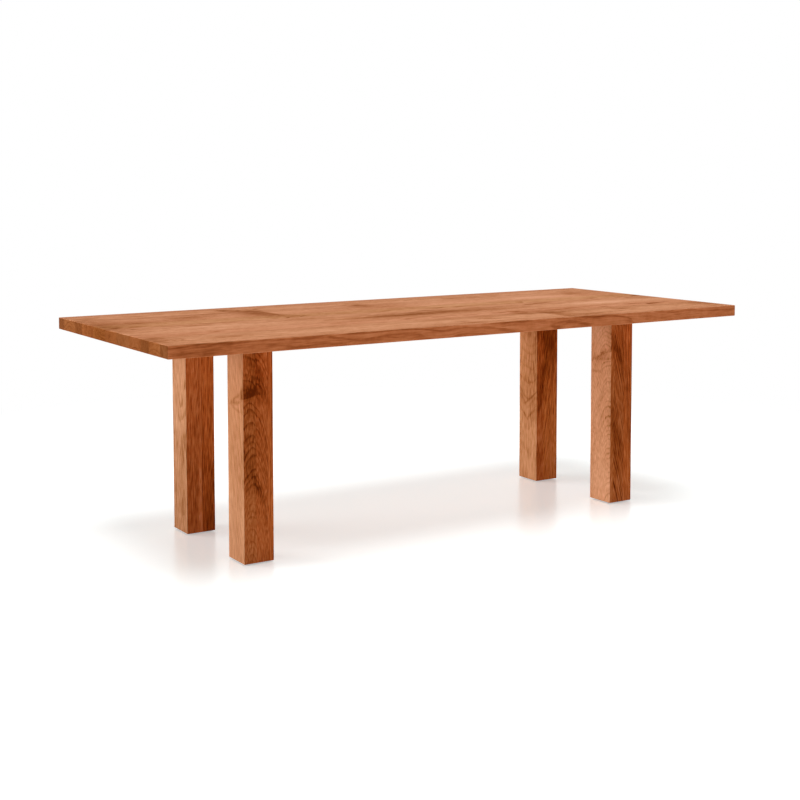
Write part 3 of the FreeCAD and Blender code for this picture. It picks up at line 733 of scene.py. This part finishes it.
def floor_material():
    """A white sweep that keeps the table's shadow and a faint reflection, and has no underside."""
    material = bpy.data.materials.new("studio_floor")
    material.use_nodes = True
    graph = Graph(material.node_tree)
    material.node_tree.nodes.clear()
    geometry = graph.add("ShaderNodeNewGeometry").outputs
    shown = seen_directly(graph)
    paint = graph.mix(shown, FLOOR_COLOUR, FLOOR_SEEN_COLOUR)
    matt = graph.add("ShaderNodeBsdfDiffuse", {"Color": paint}).outputs[0]
    glow = graph.add("ShaderNodeEmission", {"Color": graph.mix(shown, FLOOR_FILL, FLOOR_GLOW)}).outputs[0]
    lit = graph.add("ShaderNodeAddShader", {0: matt, 1: glow}).outputs[0]
    polish = {"Color": WHITE, "Roughness": FLOOR_GLOSS_ROUGHNESS}
    gloss = graph.add("ShaderNodeBsdfAnisotropic", polish).outputs[0]
    fresnel = graph.add("ShaderNodeFresnel", {"IOR": FLOOR_GLOSS_IOR}).outputs[0]
    near = graph.add("ShaderNodeMixShader", {0: fresnel, 1: lit, 2: gloss}).outputs[0]
    far = graph.add("ShaderNodeEmission", {"Color": graph.mix(shown, FLOOR_BOUNCE, WHITE)}).outputs[0]
    distance = graph.vector("LENGTH", geometry["Position"])
    fade = graph.ramp(distance, FLOOR_FADE_START, FLOOR_FADE_END)
    sweep = graph.add("ShaderNodeMixShader", {0: fade, 1: near, 2: far}).outputs[0]
    clear = graph.add("ShaderNodeBsdfTransparent").outputs[0]
    one_sided = graph.add("ShaderNodeMixShader", {0: geometry["Backfacing"], 1: sweep, 2: clear}).outputs[0]
    graph.add("ShaderNodeOutputMaterial", {"Surface": one_sided})
    return material


def make_floor():
    """One square of floor at zero height, which isn't part of the object."""
    half = FLOOR_SIDE / 2
    mesh = bpy.data.meshes.new("studio_floor")
    corners = [(-half, -half, 0.0), (half, -half, 0.0), (half, half, 0.0), (-half, half, 0.0)]
    mesh.from_pydata(corners, [], [(0, 1, 2, 3)])
    mesh.materials.append(floor_material())
    floor = bpy.data.objects.new("studio_floor", mesh)
    bpy.context.collection.objects.link(floor)


def make_lights():
    """The broad lights, each even over the whole table."""
    for light in LIGHTS:
        data = bpy.data.lights.new(light.name, "SUN")
        data.angle = math.radians(light.width_degrees)
        data.energy = light.brightness
        data.color = LAMP_COLOUR
        lamp = bpy.data.objects.new(light.name, data)
        lamp.rotation_euler = Vector(light.way).to_track_quat("-Z", "Y").to_euler()
        bpy.context.collection.objects.link(lamp)


def make_camera():
    """The camera that took the photograph, its frame shifted so that upright lines stay nearly upright."""
    data = bpy.data.cameras.new("camera")
    data.sensor_width = SENSOR_WIDTH_MM
    data.lens = FOCAL_PIXELS / FRAME_PIXELS * SENSOR_WIDTH_MM
    data.shift_y = (AXIS_ROW_PIXELS - FRAME_PIXELS / 2) / FRAME_PIXELS
    camera = bpy.data.objects.new("camera", data)
    camera.location = CAMERA_PLACE
    camera.rotation_euler = (
        math.radians(LEVEL_DEGREES - CAMERA_DIP_DEGREES),
        math.radians(CAMERA_ROLL_DEGREES),
        math.radians(-CAMERA_YAW_DEGREES),
    )
    bpy.context.collection.objects.link(camera)
    bpy.context.scene.camera = camera


dress_nodes()
make_world()
make_floor()
make_lights()
make_camera()
bpy.context.scene.view_settings.view_transform = "Standard"
